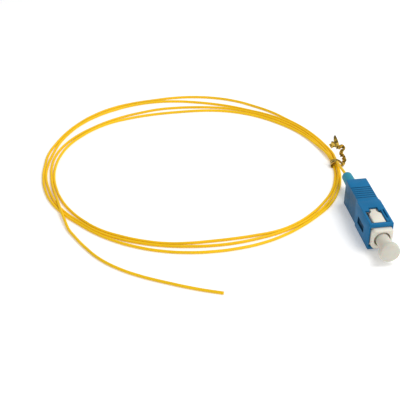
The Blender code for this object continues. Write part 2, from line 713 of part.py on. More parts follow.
def make_fibre(parts, cutters):
    yellow = make_material("fibre_yellow", (0.83, 0.44, 0.01), 0.4)
    inside = [(0.0, FIBRE_START, AXIS_Z), (0.0, BOOT_FRONT_Y, AXIS_Z), (0.0, BOOT_TIP_Y, AXIS_Z)]
    lead = inside[:2] + smooth_route(inside[2:] + LEAD_POINTS, ROUTE_STEP)
    tube("fibre_lead", parts, lead, FIBRE_DIAMETER, yellow)
    tube("fibre_tail", parts, smooth_route(TAIL_POINTS, ROUTE_STEP), FIBRE_DIAMETER, yellow)
    outer = ellipse(COIL_CENTRE, (COIL_OUTER_RADIUS, COIL_OUTER_RADIUS), COIL_SEGMENTS)
    inner = ellipse(COIL_BORE_CENTRE, COIL_BORE_RADII, COIL_SEGMENTS)
    plate = flat_outline("fibre_coil", parts, [outer, inner], COIL_HEIGHT)
    plate.location = (0.0, 0.0, COIL_HEIGHT / 2 * MM)
    coil = curve_to_mesh(plate)
    coil.data.materials.append(yellow)
    seat = box(
        "tie_seat",
        cutters,
        (-TIE_BORE_WIDTH, -TIE_RIBBON_WIDTH / 2 - SEAT_GAP, -SEAT_GAP),
        (TIE_BORE_WIDTH, TIE_RIBBON_WIDTH / 2 + SEAT_GAP, tie_seat_height()),
    )
    seat.matrix_world = tie_place() @ seat.matrix_world
    boolean(coil, mark_cutter(seat))
    return coil


def tie_seat_height():
    """How high the coil's underside is raised where the ribbon passes below it."""
    return TIE_FLOOR_GAP + TIE_RIBBON_THICKNESS + SEAT_GAP


def tie_place():
    """The frame of the coil's section at the tie: X outwards, Y along the fibre, Z up from the floor."""
    angle = math.radians(TIE_ANGLE)
    outward = Vector((math.cos(angle), math.sin(angle), 0.0))
    outer = Vector((*COIL_CENTRE, 0.0)) + outward * COIL_OUTER_RADIUS
    centre = outer - outward * (TIE_BORE_WIDTH / 2 - SEAT_GAP)
    return Matrix.Translation(centre * MM) @ Matrix.Rotation(angle, 4, "Z")


def make_twist_tie(parts, cutters):
    brass = make_material("tie_brass", (0.50, 0.32, 0.06), 0.3, 1.0)
    bore_half = TIE_BORE_WIDTH / 2
    bore_top = COIL_HEIGHT + SEAT_GAP
    wall = TIE_RIBBON_THICKNESS
    base = TIE_FLOOR_GAP
    bore = [
        (-bore_half, base + wall),
        (bore_half, base + wall),
        (bore_half, bore_top),
        (-bore_half, bore_top),
    ]
    skin = [
        (-bore_half - wall, base),
        (bore_half + wall, base),
        (bore_half + wall, bore_top + wall),
        (-bore_half - wall, bore_top + wall),
    ]
    band = stand_upright(flat_outline("twist_tie", parts, [skin, bore], TIE_RIBBON_WIDTH), 0.0)
    bpy.context.view_layer.update()
    band.matrix_world = tie_place() @ band.matrix_world
    tie = curve_to_mesh(band)
    tie.data.materials.append(brass)
    stem = curve_to_mesh(tube("tie_stem", cutters, smooth_route(TIE_STEM_POINTS, 1.0), TIE_STEM_DIAMETER))
    boolean(tie, mark_cutter(stem), "UNION")
    flag = stand_upright(flat_outline("tie_flag", cutters, [TIE_FLAG_OUTLINE], TIE_FLAG_THICKNESS), TIE_FLAG_Y)
    boolean(tie, mark_cutter(curve_to_mesh(flag)), "UNION")
    return tie


def main():
    clear_scene()
    parts = make_collection("fibre_optic_pigtail")
    cutters = make_collection("cutters")
    make_grip(parts, cutters)
    make_plug_frame(parts, cutters)
    make_ferrule(parts)
    make_ferrule_holder(parts)
    make_spring(parts)
    make_stop_ring(parts)
    make_boot(parts)
    make_dust_cap(parts)
    make_fibre(parts, cutters)
    make_twist_tie(parts, cutters)


main()
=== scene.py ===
import math

import bmesh
import bpy
from bpy.props import FloatProperty, FloatVectorProperty, PointerProperty
from bpy.types import Operator, Panel, PropertyGroup
from mathutils import Matrix, Vector


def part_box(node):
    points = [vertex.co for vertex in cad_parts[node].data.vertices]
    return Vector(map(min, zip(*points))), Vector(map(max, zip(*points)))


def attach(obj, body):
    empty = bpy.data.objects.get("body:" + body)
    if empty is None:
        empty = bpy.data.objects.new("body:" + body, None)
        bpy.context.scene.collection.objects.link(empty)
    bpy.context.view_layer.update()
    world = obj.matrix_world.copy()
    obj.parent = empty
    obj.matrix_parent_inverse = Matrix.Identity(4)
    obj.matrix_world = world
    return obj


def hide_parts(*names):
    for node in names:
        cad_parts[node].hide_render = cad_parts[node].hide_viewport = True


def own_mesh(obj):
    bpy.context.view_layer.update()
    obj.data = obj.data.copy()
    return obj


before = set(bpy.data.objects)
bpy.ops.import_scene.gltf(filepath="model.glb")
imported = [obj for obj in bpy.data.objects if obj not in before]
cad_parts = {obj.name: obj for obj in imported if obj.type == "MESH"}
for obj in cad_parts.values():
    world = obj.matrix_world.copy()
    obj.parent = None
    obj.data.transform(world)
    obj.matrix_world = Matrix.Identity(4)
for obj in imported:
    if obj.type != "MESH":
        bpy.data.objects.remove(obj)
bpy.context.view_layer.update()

bl_info = {
    "name": "Fibre optic pigtail",
    "version": (1, 0, 0),
    "blender": (4, 5, 0),
    "location": "3D View > Sidebar > Pigtail",
    "description": "Dresses a fibre optic pigtail: its plug, boot, dust cap, coiled fibre and ribbon tie",
    "category": "Object",
}

# Heights and ends that the pieces share, read from the solids; the ferrule floats back by its travel
AXIS_HEIGHT = (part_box("boot")[0].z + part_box("boot")[1].z) / 2
BOOT_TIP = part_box("boot")[1].y
BOOT_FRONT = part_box("boot")[0].y
CAP_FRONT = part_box("dust_cap")[0].y
CAP_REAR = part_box("dust_cap")[1].y
FERRULE_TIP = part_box("ferrule")[0].y

# Stage: places and sizes of the camera and the lights, and the points that they face
CAMERA_PLACE = (-0.0876, -0.21896, 0.16146)
CAMERA_AIM = (-0.04889, 0.02188, 0.0)
SENSOR_WIDTH = 36.0
LIGHT_AIM = (-0.03, 0.02, 0.0)
KEY_LIGHT_PLACE = (0.28, -0.02, 0.64)
KEY_LIGHT_SIZE = 0.42
FRONT_LIGHT_PLACE = (0.25, -0.55, 0.40)
FRONT_LIGHT_SIZE = 0.5

# Meshes: points closer than this merge, and edges sharper than this angle in degrees are hard
MERGE_DISTANCE = 0.000001
HARD_EDGE_ANGLE = 40.0

# Colours that aren't settings
WHITE = (1.0, 1.0, 1.0)
SHADE_BLACK = (0.0, 0.0, 0.0)
GLASS = (0.82, 0.86, 0.88)
CERAMIC = (0.86, 0.86, 0.83)
NICKEL = (0.62, 0.60, 0.55)
STEEL = (0.55, 0.55, 0.57)

# Painted shade where the grip's side recesses, grooves and rear side scoops lie in shadow: spans from the
# plug's axis outwards along X, along Y and from the axis outwards along Z, then the softness of the border
# and how much darker the shade is painted
GRIP_PAINTED_SHADES = (
    ((0.0031, 0.00368), (-0.00785, -0.00215), (-0.001, 0.00185), 0.00002, 0.7),
    ((-0.001, 0.0031), (0.0016, 0.0082), (0.0040, 0.00443), 0.00002, 0.45),
    ((0.0032, 0.0035), (0.0022, 0.0122), (-0.001, 0.0038), 0.0008, 0.33),
)

# The fibre's centreline from the boot down onto the coil
LEAD_ROUTE = (
    (0.0, 0.0219, 0.0045), (0.0, 0.0226, 0.00445), (0.0, 0.0253, 0.0042), (0.0001, 0.0278, 0.0037),
    (0.0003, 0.0304, 0.00305), (0.0005, 0.0327, 0.0026),
)

# The loose coil's three turns, as places on the floor fitted to the photo
COIL_PLACES = (
    (0.001, 0.0374), (0.0015, 0.0425), (0.0007, 0.049), (-0.0013, 0.0565),
    (-0.0043, 0.0636), (-0.0082, 0.0702), (-0.0125, 0.0767), (-0.018, 0.0825),
    (-0.0241, 0.0877), (-0.0314, 0.0915), (-0.0393, 0.0937), (-0.0475, 0.0943),
    (-0.0556, 0.0935), (-0.0637, 0.0922), (-0.0716, 0.0896), (-0.0787, 0.0853),
    (-0.0847, 0.0797), (-0.0897, 0.0732), (-0.0936, 0.0662), (-0.0967, 0.0587),
    (-0.0982, 0.0509), (-0.0989, 0.043), (-0.0984, 0.0351), (-0.0965, 0.0274),
    (-0.093, 0.0203), (-0.0885, 0.014), (-0.0836, 0.0081), (-0.0779, 0.003),
    (-0.0714, -0.0012), (-0.0644, -0.0043), (-0.0569, -0.0062), (-0.0493, -0.0069),
    (-0.0416, -0.0065), (-0.034, -0.005), (-0.0268, -0.0022), (-0.0201, 0.0017),
    (-0.0139, 0.0064), (-0.0082, 0.0118), (-0.0038, 0.0184), (-0.0007, 0.0257),
    (0.0009, 0.0334), (0.0008, 0.0412), (-0.0002, 0.0489), (-0.0022, 0.0562),
    (-0.0052, 0.0632), (-0.0093, 0.0695), (-0.0145, 0.0749), (-0.0204, 0.0793),
    (-0.0265, 0.0834), (-0.033, 0.0867), (-0.0401, 0.0894), (-0.0475, 0.0913),
    (-0.0554, 0.0919), (-0.0633, 0.0908), (-0.0708, 0.0881), (-0.0778, 0.0842),
    (-0.084, 0.079), (-0.0889, 0.0727), (-0.0927, 0.0657), (-0.0953, 0.0582),
    (-0.0972, 0.0507), (-0.098, 0.043), (-0.0972, 0.0352), (-0.0955, 0.0277),
    (-0.0923, 0.0208), (-0.0878, 0.0146), (-0.0829, 0.0088), (-0.0769, 0.0042),
    (-0.0704, 0.0008), (-0.0635, -0.0017), (-0.0564, -0.0032), (-0.0492, -0.0039),
    (-0.042, -0.0037), (-0.0348, -0.0025), (-0.0276, -0.0005), (-0.0208, 0.0026),
    (-0.0145, 0.007), (-0.009, 0.0124), (-0.0047, 0.0188), (-0.0015, 0.0259),
    (0.0003, 0.0335), (-0.0004, 0.0413), (-0.00205, 0.04858), (-0.00434, 0.05561),
    (-0.00756, 0.062), (-0.01186, 0.0677), (-0.01673, 0.0727), (-0.02226, 0.07681),
    (-0.02835, 0.07981), (-0.0348, 0.0816), (-0.0413, 0.0823), (-0.0477, 0.0824),
    (-0.054, 0.0822), (-0.0604, 0.0815), (-0.067, 0.0801), (-0.0735, 0.0779),
    (-0.0795, 0.0743), (-0.0848, 0.0695), (-0.0893, 0.0638), (-0.0925, 0.0573),
    (-0.0945, 0.0502), (-0.0953, 0.0429), (-0.0948, 0.0356), (-0.0933, 0.0284),
    (-0.0906, 0.0215), (-0.0868, 0.0152), (-0.082, 0.0096), (-0.0761, 0.0053),
    (-0.0698, 0.0019), (-0.0631, -0.0005), (-0.0561, -0.0015), (-0.0492, -0.0016),
    (-0.0423, -0.0014), (-0.0353, -0.0008), (-0.0281, 0.0004), (-0.0213, 0.0034),
    (-0.0153, 0.0078), (-0.01, 0.0132), (-0.0055, 0.0193), (-0.0023, 0.0262),
    (-0.0004, 0.0336), (-0.0001, 0.0412), (-0.00118, 0.04869), (-0.00327, 0.05585),
    (-0.00633, 0.0626), (-0.01044, 0.06865), (-0.01546, 0.07385), (-0.02117, 0.07831),
    (-0.02732, 0.08176), (-0.034, 0.084), (-0.0408, 0.0853), (-0.0476, 0.0859),
    (-0.0545, 0.0857), (-0.0613, 0.0842), (-0.0679, 0.0821), (-0.0743, 0.0791),
    (-0.0803, 0.0751), (-0.0859, 0.0703), (-0.0906, 0.0645), (-0.094, 0.0578),
    (-0.0958, 0.0504), (-0.0962, 0.0429), (-0.0958, 0.0354), (-0.0947, 0.0279),
)

# How far the strand rises off the floor behind the lead and where it climbs over another strand,
# as (number of the first place, rises there and at the places after it)
COIL_RISES = (
    (0, (0.00115, 0.00045, 0.00005, 0.00002, 0.00001)),
    (75, (0.00001, 0.00002, 0.00006, 0.00015, 0.00034, 0.00068)),
    (81, (0.0008, 0.00038, 0.00016, 0.00006, 0.00003, 0.00001)),
    (138, (0.00001, 0.00001, 0.00004, 0.0001, 0.00023, 0.00057)),
)

# The fibre's centreline from the coil, over the turn below and out to the bare end
TAIL_ROUTE = (
    (-0.0928, 0.0166, 0.00095), (-0.0916, 0.0110, 0.0006), (-0.0904, 0.0081, 0.0005),
    (-0.0872, 0.0014, 0.00045), (-0.0831, -0.0053, 0.00045), (-0.0778, -0.0109, 0.00045),
    (-0.0721, -0.0152, 0.00045), (-0.0642, -0.0198, 0.00045), (-0.0566, -0.0237, 0.00045),
    (-0.0499, -0.0265, 0.00045),
)

# The ribbon tie as (centre, width, direction across the ribbon): the band round the fibres, then the twisted
# ends, and how many sections each is drawn with
TIE_BAND = (
    ((0.0027, 0.0346, 0.0009), 0.0010, (0.2, 1.0, 0.3)),
    ((0.0019, 0.0345, 0.0022), 0.0014, (0.2, 1.0, 0.1)),
    ((0.0006, 0.0349, 0.0026), 0.0018, (0.2, 1.0, 0.0)),
    ((-0.0007, 0.0354, 0.0021), 0.0022, (0.2, 1.0, 0.0)),
    ((-0.0013, 0.0356, 0.0011), 0.0026, (0.15, 1.0, 0.25)),
    ((-0.0010, 0.0354, 0.0002), 0.0024, (0.2, 1.0, 0.1)),
    ((0.0004, 0.0350, 0.00012), 0.0018, (0.2, 1.0, 0.0)),
    ((0.0018, 0.0347, 0.00015), 0.0014, (0.2, 1.0, 0.0)),
)
TIE_BAND_SECTIONS = 40
TIE_STEM = (
    ((0.0027, 0.0346, 0.0008), 0.0012, (0.3, 1.0, 0.0)),
    ((0.0032, 0.0349, 0.0014), 0.0015, (0.3, 1.0, 0.0)),
    ((0.0034, 0.0351, 0.0022), 0.0016, (0.3, 1.0, 0.0)),
    ((0.0030, 0.0354, 0.0034), 0.0015, (0.3, 1.0, 0.0)),
    ((0.0024, 0.0356, 0.0043), 0.0015, (0.3, 1.0, 0.0)),
    ((0.0023, 0.0358, 0.0053), 0.0014, (0.3, 1.0, 0.0)),
    ((0.0027, 0.0359, 0.0060), 0.0012, (0.3, 1.0, 0.0)),
    ((0.0030, 0.0359, 0.0067), 0.0012, (0.3, 1.0, 0.0)),
    ((0.0025, 0.0359, 0.0074), 0.0012, (0.3, 1.0, 0.0)),
    ((0.0019, 0.0359, 0.0074), 0.0012, (0.0, 1.0, 0.3)),
    ((0.0012, 0.0359, 0.0070), 0.0014, (0.0, 1.0, 0.3)),
    ((0.0004, 0.0359, 0.0074), 0.0016, (0.0, 1.0, 0.3)),
)
TIE_STEM_SECTIONS = 90

# Flattened ends of the tie, as (outline in X and Z, place of its foot along Y, lean along Y for its height)
TIE_LEAVES = (
    (
        (
            (0.0008, 0.0069), (0.0014, 0.0080), (0.0006, 0.0101), (0.0, 0.0114), (-0.0005, 0.0122),
            (-0.0009, 0.0114), (-0.0008, 0.0102), (-0.0006, 0.0090), (-0.0002, 0.0075),
        ),
        0.0358,
        -0.02,
    ),
    (
        (
            (0.0004, 0.0072), (-0.0006, 0.0076), (-0.0014, 0.0071), (-0.0019, 0.0078), (-0.0025, 0.0088),
            (-0.0017, 0.0089), (-0.0015, 0.0099), (-0.0009, 0.0096), (0.0001, 0.0095), (0.0010, 0.0085),
        ),
        0.0355,
        0.06,
    ),
)

# Heights between which the tie's flattened ends grow darker
TIE_DARK_SPAN = (0.0090, 0.0112)


class FibreSettings(PropertyGroup):
    diameter: FloatProperty(
        name="Diameter", description="Outside diameter of the buffered fibre",
        default=0.0009, min=0.0003, unit="LENGTH",
    )
    start_inside: FloatProperty(
        name="Start Inside", description="How far inside the boot the fibre starts",
        default=0.003, unit="LENGTH",
    )
    core_diameter: FloatProperty(
        name="Core Diameter", description="Diameter of the glass seen on the cut end",
        default=0.00025, unit="LENGTH",
    )
    colour: FloatVectorProperty(
        name="Colour", description="Colour of the buffer",
        default=(0.92, 0.56, 0.008), subtype="COLOR", min=0.0, max=1.0,
    )


class PlugSettings(PropertyGroup):
    edge_width: FloatProperty(
        name="Edge Width", description="Width of the moulded edges",
        default=0.00006, min=0.0, unit="LENGTH",
    )
    grip_colour: FloatVectorProperty(
        name="Grip Colour", description="Colour of the push-pull grip",
        default=(0.011, 0.157, 0.352), subtype="COLOR", min=0.0, max=1.0,
    )
    frame_colour: FloatVectorProperty(
        name="Frame Colour", description="Colour of the inner frame",
        default=(0.80, 0.76, 0.66), subtype="COLOR", min=0.0, max=1.0,
    )


class BootSettings(PropertyGroup):
    tip_diameter: FloatProperty(
        name="Tip Diameter", description="Outside diameter at the boot's tip",
        default=0.0034, unit="LENGTH",
    )
    neck_diameter: FloatProperty(
        name="Neck Diameter", description="Outside diameter where the boot leaves its flange",
        default=0.0038, unit="LENGTH",
    )
    base_diameter: FloatProperty(
        name="Base Diameter", description="Diameter of the flange inside the grip",
        default=0.0050, unit="LENGTH",
    )
    base_length: FloatProperty(
        name="Base Length", description="Length of the flange inside the grip",
        default=0.0026, unit="LENGTH",
    )
    tip_radius: FloatProperty(
        name="Tip Radius", description="Rounding of the boot's tip", default=0.0007, unit="LENGTH"
    )
    bore: FloatProperty(
        name="Bore", description="Diameter of the hole for the fibre", default=0.0012, unit="LENGTH"
    )
    socket_diameter: FloatProperty(
        name="Socket Diameter", description="Diameter of the hole for the stop ring's stub",
        default=0.0030, unit="LENGTH",
    )
    clearance: FloatProperty(
        name="Clearance", description="Gap between the stub's end and the socket's",
        default=0.0003, unit="LENGTH",
    )
    flange_ease: FloatProperty(
        name="Flange Ease", description="Length of the slope behind the flange",
        default=0.0003, unit="LENGTH",
    )
    colour: FloatVectorProperty(
        name="Colour", description="Colour of the boot",
        default=(0.03, 0.275, 0.39), subtype="COLOR", min=0.0, max=1.0,
    )


class CapSettings(PropertyGroup):
    head_diameter: FloatProperty(
        name="Head Diameter", description="Diameter of the cap's head",
        default=0.00625, unit="LENGTH",
    )
    head_thickness: FloatProperty(
        name="Head Thickness", description="Thickness of the cap's head",
        default=0.0020, unit="LENGTH",
    )
    edge_radius: FloatProperty(
        name="Edge Radius", description="Rounding of the head's edges",
        default=0.00045, unit="LENGTH",
    )
    stem_diameter: FloatProperty(
        name="Stem Diameter", description="Diameter of the sleeve over the ferrule",
        default=0.0041, unit="LENGTH",
    )
    socket_diameter: FloatProperty(
        name="Socket Diameter", description="Diameter of the hole for the ferrule",
        default=0.0028, unit="LENGTH",
    )
    clearance: FloatProperty(
        name="Clearance", description="Gap between the ferrule's tip and the socket's end",
        default=0.0003, unit="LENGTH",
    )
    colour: FloatVectorProperty(
        name="Colour", description="Colour of the frosted plastic",
        default=(0.60, 0.58, 0.50), subtype="COLOR", min=0.0, max=1.0,
    )


class TieSettings(PropertyGroup):
    ribbon_thickness: FloatProperty(
        name="Ribbon Thickness", description="Thickness of the tie's ribbon",
        default=0.0002, unit="LENGTH",
    )
    twist_pitch: FloatProperty(
        name="Twist Pitch", description="Length of one turn of the twisted ends",
        default=0.0034, unit="LENGTH",
    )
    colour: FloatVectorProperty(
        name="Colour", description="Colour of the metallised ribbon",
        default=(0.74, 0.49, 0.08), subtype="COLOR", min=0.0, max=1.0,
    )


class StageSettings(PropertyGroup):
    floor_size: FloatProperty(
        name="Floor Size", description="Side of the square floor", default=3.0, unit="LENGTH"
    )
    floor_colour: FloatVectorProperty(
        name="Floor Colour", description="Colour of the floor",
        default=(0.96, 0.96, 0.96), subtype="COLOR", min=0.0, max=1.0,
    )
    lens: FloatProperty(
        name="Lens", description="Focal length on a 36 mm sensor",
        default=81.0, subtype="DISTANCE_CAMERA",
    )
    floor_glow: FloatProperty(
        name="Floor Glow", description="Light that the floor gives off, which keeps its shadows pale",
        default=0.16,
    )
    key_power: FloatProperty(
        name="Key Power", description="Power of the main soft light", default=2.4, unit="POWER"
    )
    front_power: FloatProperty(
        name="Front Power", description="Power of the soft light in front",
        default=1.0, unit="POWER",
    )
    sky_strength: FloatProperty(
        name="Sky Strength", description="Strength of the even white light all round", default=0.55
    )


# Meshes


def add_piece(name, mesh, material, body, slot, *replaced):
    """Adds a visible piece that rides a body and stands in for the nodes that it replaces."""
    piece = bpy.data.objects.new(name, mesh)
    bpy.context.scene.collection.objects.link(piece)
    mesh.materials.clear()
    mesh.materials.append(material)
    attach(piece, body)
    if replaced:
        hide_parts(*replaced)
    return piece


def mesh_from(bm, name, smooth_angle):
    """A finished mesh, smooth except across edges sharper than that angle in degrees."""
    bmesh.ops.recalc_face_normals(bm, faces=bm.faces)
    mesh = bpy.data.meshes.new(name)
    bm.to_mesh(mesh)
    bm.free()
    mesh.shade_smooth()
    mesh.set_sharp_from_angle(angle=math.radians(smooth_angle))
    return mesh


def merged_copy(node):
    """A copy of a solid's mesh with its doubled points merged."""
    bm = bmesh.new()
    bm.from_mesh(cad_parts[node].data)
    bmesh.ops.remove_doubles(bm, verts=bm.verts, dist=MERGE_DISTANCE)
    return bm


def turned_mesh(name, profile, steps):
    """A solid turned about the plug's axis from (radius, y) points."""
    bm = bmesh.new()
    corners = [bm.verts.new((radius, y, AXIS_HEIGHT)) for radius, y in profile]
    lines = [bm.edges.new(pair) for pair in zip(corners, corners[1:])]
    if profile[0][0] > 0.0:
        lines.append(bm.edges.new((corners[-1], corners[0])))
    bmesh.ops.spin(
        bm,
        geom=corners + lines,
        cent=(0.0, 0.0, AXIS_HEIGHT),
        axis=(0.0, 1.0, 0.0),
        dvec=(0.0, 0.0, 0.0),
        angle=math.tau,
        steps=steps,
        use_merge=True,
    )
    bmesh.ops.remove_doubles(bm, verts=bm.verts, dist=MERGE_DISTANCE)
    return mesh_from(bm, name, smooth_angle=HARD_EDGE_ANGLE)


def arc(centre_radius, centre_y, size, start, end, steps):
    """Points of a profile along an arc from one angle in degrees to another."""
    points = []
    for step in range(steps + 1):
        angle = math.radians(start + (end - start) * step / steps)
        points.append((centre_radius + size * math.cos(angle), centre_y + size * math.sin(angle)))
    return points


def softened_mesh(node, name, width):
    """A copy of a solid's mesh with its hard edges bevelled."""
    bm = merged_copy(node)
    limit = math.radians(HARD_EDGE_ANGLE)
    hard = [edge for edge in bm.edges if len(edge.link_faces) == 2 and edge.calc_face_angle() > limit]
    bmesh.ops.bevel(
        bm,
        geom=hard,
        offset=width,
        offset_type="OFFSET",
        segments=2,
        profile=0.5,
        affect="EDGES",
        clamp_overlap=False,
        material=-1,
    )
    return mesh_from(bm, name, smooth_angle=50.0)


def resampled(sections, count, closed):
    """Evenly blended sections between the given (point, width, side) ones."""
    last = len(sections) - 1
    spans = last + 1 if closed else last
    even = []
    for step in range(count if closed else count + 1):
        place = spans * step / count
        index = min(int(place), spans - 1)
        share = place - index
        around = [index + shift for shift in (-1, 0, 1, 2)]
        near = [sections[spot % spans if closed else min(max(spot, 0), last)] for spot in around]
        points, widths, sides = zip(*near)
        point = catmull_rom([Vector(point) for point in points], share)
        side = catmull_rom([Vector(side) for side in sides], share).normalized()
        width = widths[1] + (widths[2] - widths[1]) * share
        even.append((point, width, side))
    return even


def catmull_rom(points, share):
    """The point at that share of the smooth curve between the second and third of four points."""
    before, start, end, after = points
    return 0.5 * (
        2.0 * start
        + (end - before) * share
        + (2.0 * before - 5.0 * start + 4.0 * end - after) * share**2
        + (3.0 * start - before - 3.0 * end + after) * share**3
    )


def coil_route(resting_height):
    """The strand's points round the coil, at the resting height and higher where it climbs over a strand."""
    heights = [resting_height] * len(COIL_PLACES)
    for first, rises in COIL_RISES:
        for number, rise in enumerate(rises, first):
            heights[number] += rise
    return [(x, y, height) for (x, y), height in zip(COIL_PLACES, heights)]


def add_strip(bm, sections, thickness, closed=False):
    """Extrudes a ribbon of that thickness through (point, width, side) sections."""
    rings = [(point - side * width / 2, point, point + side * width / 2) for point, width, side in sections]
    first = [bm.verts.new(corner) for corner in rings[0]]
    start = [bm.edges.new(pair) for pair in zip(first, first[1:])]
    edges = start
    faces = []
    for ring in rings[1:]:
        made = bmesh.ops.extrude_edge_only(bm, edges=edges)["geom"]
        verts = [item for item in made if isinstance(item, bmesh.types.BMVert)]
        faces += [item for item in made if isinstance(item, bmesh.types.BMFace)]
        edges = [item for item in made if isinstance(item, bmesh.types.BMEdge)]
        edges = [edge for edge in edges if set(edge.verts) <= set(verts)]
        for vert, corner in zip(verts, ring):
            vert.co = corner
    if closed:
        faces += bmesh.ops.bridge_loops(bm, edges=start + edges)["faces"]
    bmesh.ops.recalc_face_normals(bm, faces=faces)
    bmesh.ops.solidify(bm, geom=faces, thickness=thickness)


# Materials


def new_material(name):
    material = bpy.data.materials.new(name)
    material.use_nodes = True
    shader = material.node_tree.nodes["Principled BSDF"]
    return material, material.node_tree, shader


def object_place(tree):
    """The place on the object, so that no pattern moves over it."""
    return tree.nodes.new("ShaderNodeTexCoord").outputs["Object"]


def object_axes(tree):
    """The place on the object, apart along X, Y and Z."""
    axes = tree.nodes.new("ShaderNodeSeparateXYZ")
    tree.links.new(object_place(tree), axes.inputs["Vector"])
    return axes.outputs


def object_noise(tree, scale, detail=2.0):
    noise = tree.nodes.new("ShaderNodeTexNoise")
    noise.inputs["Scale"].default_value = scale
    noise.inputs["Detail"].default_value = detail
    tree.links.new(object_place(tree), noise.inputs["Vector"])
    return noise.outputs["Fac"]


def tinted(tree, shader, factor, dark, light, start=0.35, end=0.65):
    """Colours the shader from dark to light as the factor goes from start to end."""
    ramp = tree.nodes.new("ShaderNodeValToRGB")
    low, high = ramp.color_ramp.elements
    low.position = start
    low.color = (*dark, 1.0)
    high.position = end
    high.color = (*light, 1.0)
    tree.links.new(factor, ramp.inputs["Fac"])
    tree.links.new(ramp.outputs["Color"], shader.inputs["Base Color"])


def blended(tree, shader, amount, colour):
    """Blends the shader's present colour into another one by that amount."""
    blend = tree.nodes.new("ShaderNodeMixRGB")
    blend.inputs["Color2"].default_value = (*colour, 1.0)
    present = shader.inputs["Base Color"].links[0].from_socket
    tree.links.new(amount, blend.inputs["Fac"])
    tree.links.new(present, blend.inputs["Color1"])
    tree.links.new(blend.outputs["Color"], shader.inputs["Base Color"])


def roughened(tree, shader, factor, low, high):
    """Lets the roughness vary between low and high with the factor."""
    span = tree.nodes.new("ShaderNodeMapRange")
    span.inputs["To Min"].default_value = low
    span.inputs["To Max"].default_value = high
    tree.links.new(factor, span.inputs["Value"])
    tree.links.new(span.outputs["Result"], shader.inputs["Roughness"])


def grained(tree, shader, height, distance, strength):
    """Gives the surface a fine grain of that depth."""
    bump = tree.nodes.new("ShaderNodeBump")
    bump.inputs["Distance"].default_value = distance
    bump.inputs["Strength"].default_value = strength
    tree.links.new(height, bump.inputs["Height"])
    tree.links.new(bump.outputs["Normal"], shader.inputs["Normal"])


def shaded(colour, factor):
    return tuple(min(1.0, channel * factor) for channel in colour)


def moulded_plastic(name, colour, roughness, gloss=0.5, grain=6000.0, depth=0.000008):
    """A plastic with a fine grain and slight changes of tint and roughness."""
    material, tree, shader = new_material(name)
    tinted(tree, shader, object_noise(tree, scale=140.0), shaded(colour, 0.93), shaded(colour, 1.07))
    roughened(tree, shader, object_noise(tree, scale=900.0), roughness - 0.06, roughness + 0.06)
    grained(tree, shader, object_noise(tree, scale=grain), distance=depth, strength=0.5)
    shader.inputs["Specular IOR Level"].default_value = gloss
    return material


def let_light_in(material, weight, distance):
    """Scatters part of the light inside the plastic, over about that distance."""
    shader = material.node_tree.nodes["Principled BSDF"]
    shader.inputs["Subsurface Weight"].default_value = weight
    shader.inputs["Subsurface Scale"].default_value = distance


def calculated(tree, operation, first, second=None):
    """One step of arithmetic on a socket, with a number or another socket."""
    step = tree.nodes.new("ShaderNodeMath")
    step.operation = operation
    tree.links.new(first, step.inputs[0])
    if isinstance(second, float):
        step.inputs[1].default_value = second
    elif second is not None:
        tree.links.new(second, step.inputs[1])
    return step.outputs["Value"]


def box_mask(tree, places, spans, softness):
    """Is 1 inside the spans along X, Y and Z and fades to 0 over that softness outside them."""
    mask = None
    for place, (low, high) in zip(places, spans):
        offset = calculated(tree, "SUBTRACT", place, (low + high) / 2)
        fade = tree.nodes.new("ShaderNodeMapRange")
        fade.inputs["From Min"].default_value = (high - low) / 2
        fade.inputs["From Max"].default_value = (high - low) / 2 + softness
        fade.inputs["To Min"].default_value = 1.0
        fade.inputs["To Max"].default_value = 0.0
        tree.links.new(calculated(tree, "ABSOLUTE", offset), fade.inputs["Value"])
        inside = fade.outputs["Result"]
        mask = inside if mask is None else calculated(tree, "MULTIPLY", mask, inside)
    return mask


def paint_shade(material, painted_shades):
    """Paints shade onto the grip's recesses, grooves and scoops, where shadow falls."""
    tree = material.node_tree
    shader = tree.nodes["Principled BSDF"]
    axes = object_axes(tree)
    across = calculated(tree, "ABSOLUTE", axes["X"])
    upwards = calculated(tree, "ABSOLUTE", calculated(tree, "SUBTRACT", axes["Z"], AXIS_HEIGHT))
    for *spans, softness, share in painted_shades:
        mask = box_mask(tree, (across, axes["Y"], upwards), spans, softness)
        # Painted shade: blends towards black inside each box
        blended(tree, shader, calculated(tree, "MULTIPLY", mask, share), SHADE_BLACK)


def plated_metal(name, colour, roughness):
    """A metal with slight changes of tint and roughness."""
    material, tree, shader = new_material(name)
    tinted(tree, shader, object_noise(tree, scale=1200.0), shaded(colour, 0.9), shaded(colour, 1.05))
    roughened(tree, shader, object_noise(tree, scale=2500.0), roughness - 0.08, roughness + 0.08)
    shader.inputs["Metallic"].default_value = 1.0
    return material


# Stage


def facing(place, aim):
    """The rotation of a camera or light at a place that faces the aim."""
    return (Vector(aim) - Vector(place)).to_track_quat("-Z", "Y").to_euler()


